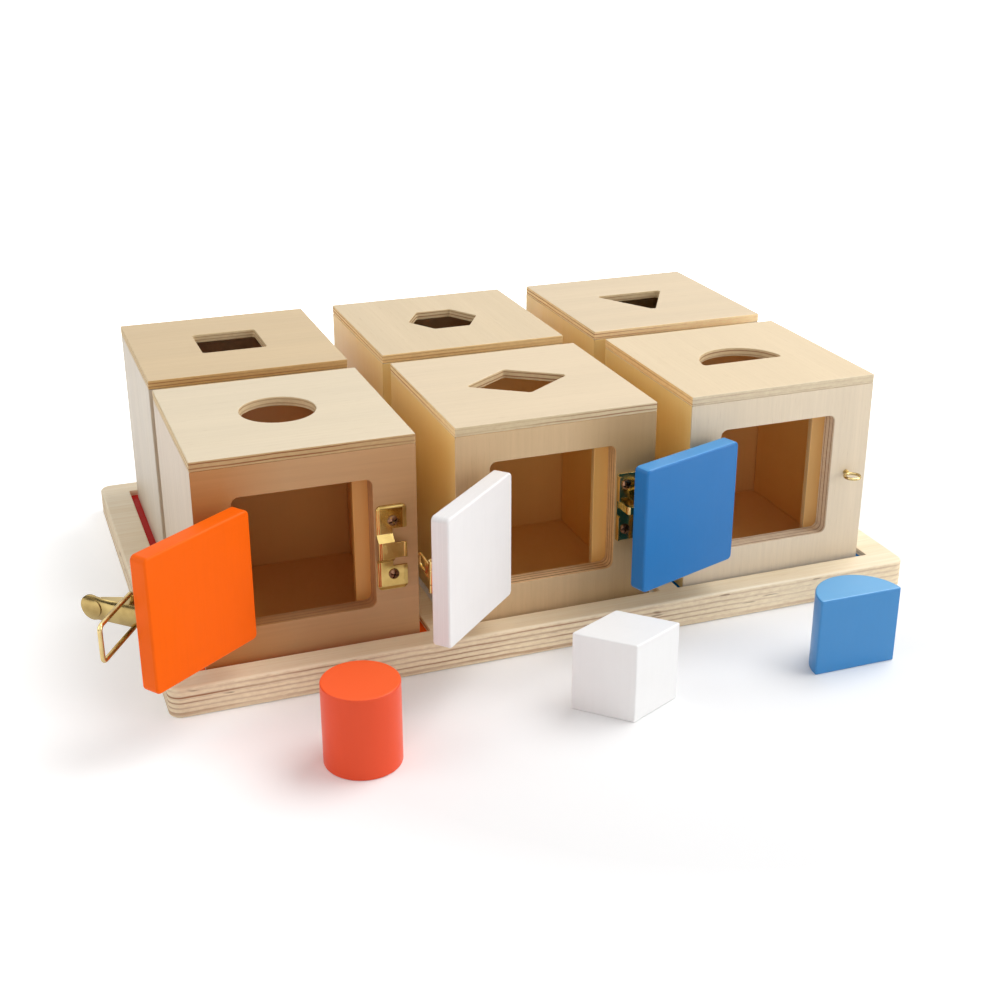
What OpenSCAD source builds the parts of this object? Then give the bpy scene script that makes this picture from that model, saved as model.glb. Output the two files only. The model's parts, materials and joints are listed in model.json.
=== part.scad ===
// Lock box toy: six plywood boxes in the recesses of one board, each with a shaped hole in its lid,
// a painted door with its own brass latch, and a block that fits its hole.
// Millimetres, +Z up, front towards -Y, origin at the middle of the board's underside.

/* [Base board] */
// Thickness of the board
base_t = 18; // [14:0.5:30]
// Depth of the recesses that the boxes stand in
recess_depth = 4; // [2:0.5:8]
// Room beside a box in its recess
recess_side = 5; // [0.5:0.5:10]
// Room in front of a box and behind it in its recess
recess_end = 3.5; // [0.5:0.5:10]
// Ridge between recesses that lie side by side
ridge_x = 12; // [8:0.5:30]
// Ridge between the front row and the back row
ridge_y = 10; // [8:0.5:30]
// Rim at the two ends of the board
rim_x = 18; // [12:1:40]
// Rim at the front and the back of the board
rim_y = 15.5; // [12:0.5:40]
// Radius of the board's corners
base_corner_r = 7; // [4:1:30]
// Easing of the board's edges
base_ease = 1; // [0.4:0.2:2]

/* [Boxes] */
// Width of a box
box_w = 120; // [105:1:150]
// Depth of a box
box_d = 120; // [105:1:150]
// Height of a box with its lid
box_h = 121; // [105:1:150]
// Thickness of the four walls
wall_t = 11; // [9:0.5:14]
// Thickness of the lid
lid_t = 5.5; // [4:0.5:10]
// Thickness of the floor between the walls
floor_t = 6; // [4:0.5:10]
// Hairline of glue between the boards of a box
glue_line = 0.1; // [0.05:0.05:0.2]

/* [Doors] */
// Stile on the hinge side of the door opening
hinge_stile = 20; // [18:0.5:26]
// Stile on the latch side of the door opening
latch_stile = 24.5; // [21:0.5:32]
// Bottom of the door opening above the box's underside
sill = 22.5; // [18:0.5:30]
// Top of the door opening below the lid's upper face
head_rail = 22.8; // [16:0.2:30]
// Radius of the opening's corners
opening_r = 4; // [1:0.5:8]
// Gap at the hinge edge of a door
hinge_gap = 1.6; // [1:0.1:2.5]
// Gap above a door and below it
edge_gap = 1; // [0.5:0.1:2]
// Room left at the latch edge as a door swings
swing_room = 0.25; // [0.15:0.05:1]
// Gap between a closed door and its stop
door_back = 0.5; // [0.3:0.1:1.5]
// Radius of a door's corners
door_r = 3; // [1:0.5:6]
// Easing of a door's edges
door_ease = 0.8; // [0.3:0.1:1.5]
// Thickness of the stop strip behind the latch stile
stop_t = 4; // [3:0.5:8]
// Reach of the stop strip into the opening
stop_reach = 8.5; // [4:0.5:12]
// Width of the stop strip that is glued to the stile
stop_lap = 6; // [3:0.5:10]
// Opening angle of the door of the round box
round_open = 144; // [0:1:165]
// Opening angle of the door of the rhombus box
rhombus_open = 137; // [0:1:145]
// Opening angle of the door of the half-round box
half_round_open = 161; // [0:1:165]

/* [Hinges] */
// Height of a butt hinge
hinge_h = 22; // [18:0.5:26]
// Middle of a hinge above or below the middle of its door
hinge_y = 15; // [13.5:0.5:17]
// Reach of a hinge leaf from its pin
leaf_w = 11; // [10:0.5:16]
// Thickness of a hinge leaf
leaf_t = 1.1; // [0.8:0.1:1.4]
// Outer radius of a hinge barrel
barrel_r = 2.4; // [2:0.1:3]
// Gap between a barrel and the face of the box
barrel_lift = 0.25; // [0.15:0.05:0.5]
// Radius of a hinge pin
pin_r = 1; // [0.7:0.1:1.3]
// Running clearance round every pin, stud and rod
fit = 0.05; // [0.02:0.01:0.1]
// Gap between neighbouring knuckles
knuckle_gap = 0.2; // [0.1:0.05:0.4]
// Gap between a leaf and the barrel beside it
leaf_gap = 0.3; // [0.2:0.05:0.5]

/* [Lid holes and blocks] */
// Middle of a hole behind the middle of its lid
hole_set_back = 3; // [0:0.5:8]
// Diameter of the round hole
round_d = 42.5; // [30:0.5:60]
// Side of the rhombus hole
rhombus_side = 38.8; // [28:0.2:46]
// Sharp angle of the rhombus hole
rhombus_angle = 70; // [60:1:85]
// Radius of the half-round hole
half_round_r = 26.5; // [18:0.5:34]
// Side of the square hole
square_side = 40; // [28:0.5:56]
// Radius of the hexagon hole out to its corners
hexagon_r = 23.5; // [16:0.5:34]
// Side of the triangle hole
triangle_side = 50; // [36:0.5:64]
// Radius of the blocks' upright edges
block_corner_r = 1; // [0.5:0.1:2]
// Room round a block in its hole
block_clear = 1.25; // [0.5:0.05:2]
// Height of a block
block_h = 45.5; // [30:0.5:60]
// Room between the blocks on the ground and the swing of the doors
ground_room = 0.6; // [0.4:0.1:5]
// Round block on the ground right of the middle of its box
round_shift = 1.5; // [-10:0.1:10]
// Rhombus block on the ground right of the middle of its box
rhombus_shift = 4.3; // [-10:0.1:10]
// Half-round block on the ground right of the middle of its box
half_round_shift = -1; // [-10:0.1:10]
// Turn of the rhombus block on the ground
rhombus_turn = -9.4; // [-30:0.1:30]

/* [Toggle latch on the round box] */
// Lever pivot from the latch edge of the opening
toggle_set = 16; // [14:0.5:20]
// Lever pivot above the door's face
toggle_out = 7; // [6.8:0.1:9]
// Middle of the latch below the middle of the door
toggle_drop = 3; // [0:0.5:6]
// Width of the lever's base plate
toggle_plate_w = 17; // [14:0.5:20]
// Height of the base plate
toggle_plate_h = 48; // [36:1:56]
// Base plate behind the lever's pivot
toggle_plate_back = 5.1; // [4.4:0.1:7]
// Radius of the ears that carry the lever
ear_r = 3.2; // [2.6:0.1:3.3]
// Thickness of the ears
ear_t = 1.2; // [0.8:0.1:1.4]
// Radius of the lever's pin
toggle_pin_r = 1.2; // [0.8:0.1:1.5]
// Angle that the lever stands open
lever_open = 100; // [0:1:140]
// Pivot to the middle of the lever's round end
lever_reach = 30; // [22:0.5:34]
// Radius of the lever's round end
lever_end_r = 6.8; // [6.6:0.1:7.4]
// Radius of the thumb dish in the round end
dish_r = 5.2; // [3:0.1:5.6]
// Depth of the thumb dish
dish_depth = 0.6; // [0.2:0.1:0.8]
// Width of the lever at its cheeks
lever_w = 12.4; // [11.6:0.2:13]
// Thickness of the lever's plate
lever_sheet = 1.2; // [1:0.1:1.5]
// Thickness of the lever's cheeks
cheek_t = 1; // [0.8:0.1:1.2]
// Depth of the cheeks where they run out at the round end
cheek_run_out = 0.6; // [0.2:0.1:1.5]
// Lever plate above its pivot
lever_lift = 3.6; // [3.4:0.1:4]
// Start of the lever plate from its pivot
lever_back = 2; // [1.9:0.1:4]
// Metal round the bail's eyes in the cheeks
eye_wall = 1.5; // [1:0.1:1.8]
// Bail pivot from the lever pivot, along the closed lever
crank = 10; // [8:0.5:12]
// Bail pivot below the lever pivot, closed
crank_drop = 2; // [1:0.1:2.4]
// Radius of the bail's wire
wire_r = 1.25; // [0.9:0.05:1.4]
// Half the width of the bail between wire middles
bail_half = 9.5; // [9.5:0.1:12]
// Bend radius of the bail's corners
bail_bend = 2.6; // [1.8:0.1:3.5]
// Width of the catch plate
catch_w = 17; // [15:0.5:19]
// Height of the catch plate
catch_h = 50; // [40:1:60]
// Length of the bridge raised from the catch plate
bridge_len = 9; // [6:0.5:10]
// Half the width of the bridge's flat top
bridge_half = 4.5; // [3.5:0.1:4.6]
// Run of the bridge's sloping sides
bridge_slope = 3.4; // [2:0.1:3.4]
// Reach of the hooked tongue past the bridge
tongue_len = 4.8; // [3.5:0.1:5]
// Tongue narrower than the bridge on each side
tongue_inset = 0.1; // [0.05:0.05:0.8]
// Inner radius of the tongue's turned lip
lip_r = 0.8; // [0.4:0.1:0.9]
// Room above and below the bail's bar in the catch
bar_room = 0.35; // [0.2:0.05:0.6]

/* [Hasp on the rhombus box] */
// Hasp knuckle from the latch edge of the opening
hasp_set = 8.3; // [6:0.1:12]
// Width of the hasp's leaf from its pin
hasp_leaf_w = 15.2; // [12:0.2:18]
// Height of the hasp's leaf
hasp_leaf_h = 25; // [20:1:32]
// Length of each knuckle of the hasp's leaf
hasp_knuckle = 4.5; // [3.5:0.1:5.5]
// Width of the strap
strap_w = 8.4; // [7:0.2:9]
// Thickness of the strap
strap_t = 1.2; // [1:0.1:1.4]
// Underside of the strap below its pin
strap_drop = 1.05; // [0.8:0.05:1.2]
// Length of the strap past the middle of its slot
strap_end = 8.4; // [7:0.2:10]
// Angle that the strap stands open
strap_open = 135; // [0:1:165]
// Middle of the staple from the edge of its plate
staple_in = 7.6; // [7:0.1:9]
// Length of the staple along the strap
staple_l = 8; // [6.5:0.1:9]
// Width of the staple across the strap
staple_w = 4.6; // [3.5:0.1:5]
// Height of the staple
staple_h = 8.5; // [7:0.1:11]
// Wall of the staple
staple_t = 1.2; // [0.8:0.1:1.6]
// Radius of the staple's shoulders
staple_shoulder_r = 2.8; // [1.8:0.1:3.1]
// Room round the staple in the strap's slot
slot_room = 0.4; // [0.2:0.05:0.7]
// Radius of the slot's corners
slot_r = 1; // [0.5:0.1:1.6]
// Height of the staple plate
staple_plate_h = 41.5; // [34:0.5:54]
// Radius of the staple plate's outer corners
staple_corner_r = 8; // [2:0.5:10]
// Height of the staple plate's folded edge
fold_h = 4; // [2.5:0.1:5]

/* [Hook and eye on the half-round box] */
// Hook pivot from the latch edge of the opening
hook_set = 25; // [20:0.5:30]
// Hook pivot above the middle of the door
hook_rise = 2.5; // [2.4:0.1:5]
// Middle of the hook above the face
hook_out = 7.5; // [7:0.1:9]
// Radius of the hook's rod
hook_r = 1.3; // [1:0.05:1.5]
// Radius of the hook's ring
hook_ring_r = 4; // [3.4:0.1:5]
// Radius of the bend before the hook's tip
hook_bend = 3; // [2:0.1:4]
// Reach of the hook's turned tip below its rod
hook_tip = 8; // [6:0.5:11]
// Angle that the hook hangs below its latched place
hook_hang = 90; // [0:1:120]
// Middle of the eye past the latch edge of the opening
eye_set = 11; // [8:0.5:12]
// Radius of the eye to the middle of its wire
eye_r = 4.6; // [4:0.1:5.4]
// Radius of the eye's wire
eye_wire_r = 0.9; // [0.7:0.05:1]

/* [Barrel bolt on the square box] */
// End of the bolt's plate from the latch edge of the opening
bolt_set = 4.5; // [4:0.5:8]
// Length of the bolt's plate
bolt_plate_l = 30; // [28:1:34]
// Width of the bolt's plate
bolt_plate_w = 18; // [15:0.5:24]
// Radius of the bolt
bolt_r = 2.5; // [2:0.1:3]
// Middle of the bolt above the face
bolt_out = 4.6; // [4.4:0.1:6]
// Length of each guide
guide_l = 5; // [4:0.5:6]
// Wall of the guides and the keeper
guide_t = 1.3; // [1:0.1:1.8]
// Plate behind the rear guide
bolt_tail = 2; // [1:0.5:2]
// Chamfer of the bolt's tip
bolt_chamfer = 1; // [0.4:0.1:1.5]
// Radius of the knob's neck
knob_stem_r = 1.5; // [1:0.1:1.8]
// Radius of the knob
knob_r = 3; // [2.2:0.1:3]
// Neck between the bolt and the knob
knob_neck = 0.8; // [0.5:0.1:3]
// Travel of the bolt
bolt_throw = 11; // [9:0.5:12]
// Length of the keeper's loop
keeper_l = 7; // [5:0.5:9]
// Keeper plate past each end of its loop
keeper_lap = 1; // [0.5:0.1:2]
// Height of the keeper's plate
keeper_plate_h = 27; // [22:0.5:32]
// Room round the bolt in its keeper
keeper_room = 0.3; // [0.2:0.05:0.5]

/* [Turn button on the hexagon box] */
// Pivot of the button past the latch edge of the opening
button_set = 7.5; // [7:0.5:9]
// Length of the button
button_l = 30; // [24:1:32]
// Width of the button
button_w = 9; // [8:0.5:11]
// Radius of the button's corners
button_r = 3.9; // [1.5:0.1:3.9]
// Thickness of the button
button_t = 3.2; // [2:0.2:5]

/* [Swing catch on the triangle box] */
// Pivot of the arm from the latch edge of the opening
swing_set = 21; // [18:0.5:26]
// Pivot above the middle of the door
swing_rise = 3; // [0:0.5:6]
// Underside of the arm above the face
swing_lift = 3; // [2.6:0.1:4]
// Width of the arm
swing_w = 7.5; // [6.5:0.1:9]
// Round end of the arm wider than the arm on each side
swing_boss = 1; // [0.5:0.1:2]
// Thickness of the arm
swing_t = 2; // [1.5:0.1:3]
// Angle that the arm hangs below its latched place
swing_hang = 90; // [0:1:120]
// Middle of the keeper stud past the latch edge of the opening
stud_set = 8.5; // [7:0.5:11]
// Radius of the keeper stud
swing_stud_r = 1.8; // [1.4:0.1:2]

/* [Brass sheet and studs] */
// Thickness of the latch plates
sheet_t = 1; // [0.7:0.1:1.2]
// Radius of the corners of the latch plates
plate_r = 3; // [1:0.5:5]
// Latch plate on the stile from the edge of the opening
keeper_gap = 1; // [0.8:0.1:2]
// Radius of the pivot studs
stud_r = 1.6; // [1.2:0.1:1.8]
// Width of the shoulder beside a stud
stud_shoulder = 1.3; // [0.8:0.1:1.8]
// Height of the studs' heads
stud_head = 1.2; // [0.8:0.1:2]
// Easing of the studs' heads and rosettes
stud_ease = 0.5; // [0.2:0.1:0.7]
// Radius of the rosettes under the studs
rosette_r = 6; // [4:0.5:7]
// Thickness of the rosettes
rosette_t = 1.2; // [0.8:0.1:1.6]
// Length of the lever's pin past its cheeks
pin_end = 0.6; // [0.3:0.1:1]
// Metal between a bore and the rod or strap that starts beside it
bore_wall = 0.5; // [0.3:0.05:0.8]
// End play of a piece on its stud or between its ears
end_play = 0.2; // [0.1:0.05:0.4]

/* [Hidden] */
$fn = 64;

shapes = ["round", "rhombus", "half_round", "square", "hexagon", "triangle"];
box_parts = ["lid", "front", "walls", "door", "hinge", "door_leaf", "block"];
latch_parts = [
  "toggle_base", "toggle_lever", "toggle_bail", "toggle_catch",
  "hasp_leaf", "hasp_strap", "hasp_staple",
  "hook_pivot", "hook", "screw_eye",
  "bolt_body", "bolt_rod", "bolt_keeper",
  "turn_button",
  "swing_pivot", "swing_arm", "swing_stud"
];

birch = "#e6d3ae";
brass = "#d2a64a";
paints = ["#fa6812", "#ecebe8", "#3074b6", "#c4352b", "#efc030", "#4b9a45"];
door_open = [round_open, rhombus_open, half_round_open, 0, 0, 0];
cut = 1;

// Layout of the board and the boxes
recess_w = box_w + 2 * recess_side;
recess_d = box_d + 2 * recess_end;
pitch_x = recess_w + ridge_x;
pitch_y = recess_d + ridge_y;
base_w = 3 * recess_w + 2 * ridge_x + 2 * rim_x;
base_d = 2 * recess_d + ridge_y + 2 * rim_y;
box_z = base_t - recess_depth;
wall_h = box_h - lid_t;
function column(i) = i % 3;
function in_front(i) = i < 3;
function box_x(i) = (column(i) - 1) * pitch_x;
function box_y(i) = (in_front(i) ? -1 : 1) * pitch_y / 2;

// Door opening and door, seen from outside, x from the middle of the box
opening_w = box_w - hinge_stile - latch_stile;
opening_h = box_h - sill - head_rail;
opening_left = hinge_stile - box_w / 2;
opening_right = opening_left + opening_w;
latch_z = sill + opening_h / 2;
pin_out = barrel_r + barrel_lift;
pin_x = opening_left;
door_t = wall_t - door_back;
free_gap = swing_room + pow(door_t + pin_out, 2) / (2 * opening_w);
door_w = opening_w - hinge_gap - free_gap;
door_h = opening_h - 2 * edge_gap;
door_left = opening_left + hinge_gap;
barrel_clear = barrel_r + leaf_gap;
keeper_x = opening_right + keeper_gap;

// Blocks on the ground stand just outside the circle that the doors' free edges sweep
swing_r = norm([hinge_gap + door_w, door_t + pin_out]);
function pin_world(i) = [box_x(i) + pin_x, box_y(i) - box_d / 2 - pin_out];
ground_shift = [round_shift, rhombus_shift, half_round_shift];
ground_reach = [
  round_d / 2 - block_clear,
  rhombus_side / 2 - block_clear,
  half_round_r - block_clear / 2
];
function ground_place(i) =
  let (
    pin = pin_world(i),
    x = box_x(i) + ground_shift[i],
    away = swing_r + ground_room + ground_reach[i]
  ) [x, pin[1] - sqrt(pow(away, 2) - pow(x - pin[0], 2)), 0];
block_floor_z = box_z + floor_t;

// Toggle latch: the closed bar lies behind the bridge, the open one just past the lip
toggle_x = opening_right - toggle_set;
cheek_in = lever_w / 2 - cheek_t;
ear_out = cheek_in - 2 * end_play;
bridge_rise = sheet_t + 2 * wire_r + 2 * bar_room;
bar_out = bridge_rise - bar_room - wire_r;
bar_x = keeper_x + bridge_len + wire_r + end_play;
function turned(p, a) = [p[0] * cos(a) + p[1] * sin(a), -p[0] * sin(a) + p[1] * cos(a)];
crank_shut = [-crank, -crank_drop];
crank_rest = turned(crank_shut, lever_open);
bail_l = norm([bar_x - toggle_x + crank, toggle_out - crank_drop - bar_out]);
bail_tilt = asin((toggle_out + crank_rest[1] - bar_out) / bail_l);

// Hasp
hasp_x = opening_right - hasp_set;
staple_x = keeper_x + staple_in;
slot_x = staple_x - hasp_x;

// Hook and eye
hook_x = opening_right - hook_set;
hook_l = hook_set + eye_set;
hook_ring_t = 2 * hook_r;

// Barrel bolt
bolt_end_x = opening_right - bolt_set;
bolt_tip_x = bolt_end_x + bolt_set / 2 - free_gap / 2;
knob_x = bolt_end_x - guide_l - bolt_throw - knob_r - end_play;
knob_out = bolt_r + knob_r + knob_neck;

// Swing catch
swing_x = opening_right - swing_set;
swing_l = swing_set + stud_set;

// Rectangle with rounded corners about the origin
module round_rect(w, h, r) {
  square([w, h - 2 * r], center = true);
  square([w - 2 * r, h], center = true);
  for (x = [-1, 1]) for (y = [-1, 1])
    translate([x * (w / 2 - r), y * (h / 2 - r)]) circle(r);
}

// Plate from x = 0 to x = w with corner radii of its own on the left and on the right
module end_plate(w, h, left_r, right_r) {
  intersection() {
    union() {
      translate([w / 2, 0]) round_rect(w, h, left_r);
      translate([w / 2, -h / 2]) square([w, h]);
    }
    union() {
      translate([w / 2, 0]) round_rect(w, h, right_r);
      translate([-w / 2, -h / 2]) square([w, h]);
    }
  }
}

// Convex polygon whose corners are arcs of radius r
module rounded_polygon(points, r) {
  n = len(points);
  ends = [
    for (i = [0:n - 1])
      let (
        p = points[i],
        back = points[(i + n - 1) % n] - p,
        ahead = points[(i + 1) % n] - p,
        u = back / norm(back),
        v = ahead / norm(ahead),
        half = acos(u * v) / 2,
        run = r / tan(half),
        middle = p + (u + v) / norm(u + v) * r / sin(half)
      ) [p + u * run, middle, p + v * run]
  ];
  difference() {
    polygon(points);
    for (i = [0:n - 1]) difference() {
      polygon([ends[i][0], 2 * points[i] - ends[i][1], ends[i][2]]);
      translate(ends[i][1]) circle(r);
    }
  }
}

// Half disc above y = 0 whose two corners are arcs of radius r
module half_disc(disc_r, r) {
  reach = sqrt(pow(disc_r - r, 2) - r * r);
  tip = [reach, r] * disc_r / (disc_r - r);
  difference() {
    intersection() {
      circle(disc_r);
      translate([-disc_r, 0]) square([2 * disc_r, disc_r]);
    }
    for (side = [0, 1]) mirror([side, 0]) difference() {
      polygon([[reach, 0], [reach, -r], [disc_r + r, -r], [disc_r + r, tip[1]], tip]);
      translate([reach, r]) circle(r);
    }
  }
}

// Board lying on z = 0 with rounded corners and eased edges
module eased_board(w, h, t, r, ease) {
  function edge(half) = [
    [half - ease, 0], [half, ease], [half, t - ease], [half - ease, t]
  ];
  function both(half) = concat(edge(half), [for (i = [3:-1:0]) [-edge(half)[i][0], edge(half)[i][1]]]);
  rotate([90, 0, 90]) linear_extrude(w - 2 * r, center = true) polygon(both(h / 2));
  rotate([90, 0, 0]) linear_extrude(h - 2 * r, center = true) polygon(both(w / 2));
  for (x = [-1, 1]) for (y = [-1, 1])
    translate([x * (w / 2 - r), y * (h / 2 - r), 0])
      rotate_extrude() polygon(concat([[0, 0]], edge(r), [[0, t]]));
}

// Regular polygon with its first corner at the angle start, drawn in by inset on every side
function ngon(n, r, start, inset) = [
  for (k = [0:n - 1])
    (r - inset / cos(180 / n)) * [cos(start + 360 * k / n), sin(start + 360 * k / n)]
];
function rhombus(side, angle, inset) =
  let (s = side - 2 * inset / sin(angle), a = s * cos(angle / 2), b = s * sin(angle / 2))
    [[a, 0], [0, b], [-a, 0], [0, -b]];

// Outline of the hole of box i, or of its block where it is drawn in by block_clear
module shape_outline(i, inset) {
  corner_r = block_corner_r + block_clear - inset;
  if (i == 0) circle(round_d / 2 - inset);
  if (i == 1) rounded_polygon(rhombus(rhombus_side, rhombus_angle, inset), corner_r);
  if (i == 2) translate([0, inset / 2]) half_disc(half_round_r - inset, corner_r);
  if (i == 3) rounded_polygon(ngon(4, square_side / sqrt(2), 45, inset), corner_r);
  if (i == 4) rounded_polygon(ngon(6, hexagon_r, 0, inset), corner_r);
  if (i == 5) rounded_polygon(ngon(3, triangle_side / sqrt(3), -90, inset), corner_r);
}

// Frames: the box as it stands, the face of its front seen from outside, and its door as it is opened
module on_box(i) {
  translate([box_x(i), box_y(i), box_z]) rotate(in_front(i) ? 0 : 180) children();
}

module on_face(i) {
  on_box(i) translate([0, -box_d / 2, latch_z]) rotate([90, 0, 0]) children();
}

module on_door(i) {
  on_face(i) translate([pin_x, 0, pin_out]) rotate([0, -door_open[i], 0])
    translate([-pin_x, 0, -pin_out]) children();
}

// Extrudes an outline in x and z to both sides of y = 0
module across(t) {
  rotate([90, 0, 0]) linear_extrude(t, center = true) children();
}

// Extrudes an outline in y and z along x
module along(l) {
  rotate([90, 0, 90]) linear_extrude(l) children();
}

// Rod along y from one end to the other
module rod_y(r, from, to) {
  translate([0, from, 0]) rotate([-90, 0, 0]) cylinder(r = r, h = to - from);
}

module base_board() {
  color(birch) difference() {
    eased_board(base_w, base_d, base_t, base_corner_r, base_ease);
    for (i = [0:5])
      translate([box_x(i) - recess_w / 2, box_y(i) - recess_d / 2, box_z])
        cube([recess_w, recess_d, recess_depth + cut]);
  }
}

module lid(i) {
  color(birch) translate([box_x(i), box_y(i), box_z + wall_h]) linear_extrude(lid_t) difference() {
    square([box_w, box_d], center = true);
    translate([0, hole_set_back - (i == 2 ? half_round_r / 2 : 0)]) shape_outline(i, 0);
  }
}

// Upright wall with mitred ends, its outer face on y = -d / 2
module mitred_wall(l, d) {
  end = l / 2 - glue_line / 2;
  translate([0, -d / 2, 0]) linear_extrude(wall_h)
    polygon([[-end, 0], [end, 0], [end - wall_t, wall_t], [wall_t - end, wall_t]]);
}

module front(i) {
  color(birch) on_box(i) difference() {
    mitred_wall(box_w, box_d);
    translate([opening_left + opening_w / 2, -box_d / 2 + wall_t / 2, latch_z])
      across(wall_t + 2 * cut) round_rect(opening_w, opening_h, opening_r);
  }
}

// Side and back walls, the floor glued between them, and the strip that stops the door
module walls(i) {
  inner_w = box_w - 2 * wall_t - 2 * glue_line;
  inner_d = box_d - 2 * wall_t - 2 * glue_line;
  color(birch) on_box(i) {
    for (side = [90, -90]) rotate(side) mitred_wall(box_d, box_w);
    rotate(180) mitred_wall(box_w, box_d);
    translate([-inner_w / 2, -inner_d / 2, 0]) cube([inner_w, inner_d, floor_t]);
    translate([opening_right - stop_reach, -box_d / 2 + wall_t, floor_t + glue_line])
      cube([stop_reach + stop_lap, stop_t, wall_h - floor_t - glue_line]);
  }
}

module door(i) {
  color(paints[i]) on_door(i) translate([door_left + door_w / 2, 0, -door_t])
    eased_board(door_w, door_h, door_t, door_r, door_ease);
}

// Leaf of a butt hinge to the right of its pin, with a rolled knuckle on each of the spans
module hinge_leaf(w, h, spans) {
  difference() {
    union() {
      translate([barrel_clear, -h / 2, 0]) cube([w - barrel_clear, h, leaf_t]);
      for (s = spans) {
        translate([barrel_lift, s[0], 0]) cube([barrel_clear, s[1] - s[0], leaf_t]);
        translate([0, 0, pin_out]) rod_y(barrel_r, s[0], s[1]);
      }
    }
    translate([0, 0, pin_out]) rod_y(pin_r + fit, -h, h);
  }
}

knuckle_h = hinge_h / 3;
outer_knuckles = [
  [-hinge_h / 2, -knuckle_h / 2 - knuckle_gap / 2],
  [knuckle_h / 2 + knuckle_gap / 2, hinge_h / 2]
];
middle_knuckle = [[-knuckle_h / 2 + knuckle_gap / 2, knuckle_h / 2 - knuckle_gap / 2]];

// Leaves on the box and the pins of both hinges
module hinge(i) {
  color(brass) on_face(i) for (y = [-hinge_y, hinge_y]) translate([pin_x, y, 0]) {
    mirror([1, 0, 0]) hinge_leaf(leaf_w, hinge_h, outer_knuckles);
    translate([0, 0, pin_out]) rod_y(pin_r, -hinge_h / 2, hinge_h / 2);
  }
}

module door_leaf(i) {
  color(brass) on_door(i) for (y = [-hinge_y, hinge_y]) translate([pin_x, y, 0])
    hinge_leaf(leaf_w, hinge_h, middle_knuckle);
}

// The front blocks stand on the ground, the back ones on the floors of their boxes
module block(i) {
  turn = i == 1 ? rhombus_turn : 0;
  place = in_front(i) ? ground_place(i) : [box_x(i), box_y(i) + hole_set_back, block_floor_z];
  color(paints[i]) translate(place) rotate(turn) linear_extrude(block_h) shape_outline(i, block_clear);
}

// Upright ear with a round top and a bore, seen along its pin
module ear_outline(r, height, bore) {
  difference() {
    union() {
      translate([0, height]) circle(r);
      translate([-r, 0]) square([2 * r, height]);
    }
    translate([0, height]) circle(bore);
  }
}

module toggle_base() {
  color(brass) on_door(0) translate([toggle_x, -toggle_drop, 0]) {
    translate([-toggle_plate_back, 0, 0])
      linear_extrude(sheet_t) end_plate(toggle_plate_w, toggle_plate_h, plate_r, plate_r);
    for (side = [-1, 1])
      translate([0, side * (ear_out - ear_t / 2), 0])
        across(ear_t) ear_outline(ear_r, toggle_out, toggle_pin_r + fit);
    translate([0, 0, toggle_out])
      rod_y(toggle_pin_r, -lever_w / 2 - pin_end, lever_w / 2 + pin_end);
  }
}

// Side of the lever, from the pivot at the origin past the bail's eye to the round end
module cheek_outline() {
  top = lever_lift + lever_sheet;
  cheek_r = ear_r - end_play;
  bail_eye_r = wire_r + eye_wall;
  run_out_x = lever_reach - dish_r;
  difference() {
    union() {
      circle(cheek_r);
      translate(crank_shut) circle(bail_eye_r);
      polygon([
        [cheek_r, 0], [-lever_back, top], [-run_out_x, top], [-run_out_x, lever_lift - cheek_run_out],
        crank_shut - [bail_eye_r, 0], crank_shut - [0, bail_eye_r], [0, -cheek_r]
      ]);
    }
    circle(toggle_pin_r + fit);
    translate(crank_shut) circle(wire_r + fit);
  }
}

// Lever in its closed place, pointing back over the door, with its pivot at the origin
module closed_lever() {
  dish_wall = lever_sheet / 4;
  difference() {
    union() {
      translate([0, 0, lever_lift]) linear_extrude(lever_sheet) {
        translate([-lever_reach, -lever_w / 2]) square([lever_reach - lever_back, lever_w]);
        translate([-lever_reach, 0]) circle(lever_end_r);
      }
      translate([-lever_reach, 0, lever_lift])
        cylinder(r = dish_r + dish_wall, h = lever_sheet + dish_depth);
    }
    translate([-lever_reach, 0, lever_lift - cut]) cylinder(r = dish_r - dish_wall, h = dish_depth + cut);
  }
  for (side = [-1, 1])
    translate([0, side * (cheek_in + cheek_t / 2), 0]) across(cheek_t) cheek_outline();
}

module toggle_lever() {
  color(brass) on_door(0) translate([toggle_x, -toggle_drop, toggle_out])
    rotate([0, lever_open, 0]) closed_lever();
}

// Quarter bend of round wire about the origin, from the x axis to the y axis
module wire_bend(r, bend) {
  rotate_extrude(angle = 90) translate([bend, 0]) circle(r);
}

// Wire loop from its pivot at x = 0 to its bar at x = l, with its ends turned in
module wire_loop(r, l, half, bend, turned_in) {
  for (side = [0, 1]) mirror([0, side, 0]) {
    rod_y(r, turned_in, half - bend);
    translate([bend, half - bend, 0]) rotate(90) wire_bend(r, bend);
    translate([bend, half, 0]) rotate([0, 90, 0]) cylinder(r = r, h = l - 2 * bend);
    translate([l - bend, half - bend, 0]) wire_bend(r, bend);
  }
  translate([l, 0, 0]) rod_y(r, bend - half, half - bend);
}

module toggle_bail() {
  color(brass) on_door(0)
    translate([toggle_x + crank_rest[0], -toggle_drop, toggle_out + crank_rest[1]])
      rotate([0, bail_tilt, 0]) wire_loop(wire_r, bail_l, bail_half, bail_bend, cheek_in - end_play);
}

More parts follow.
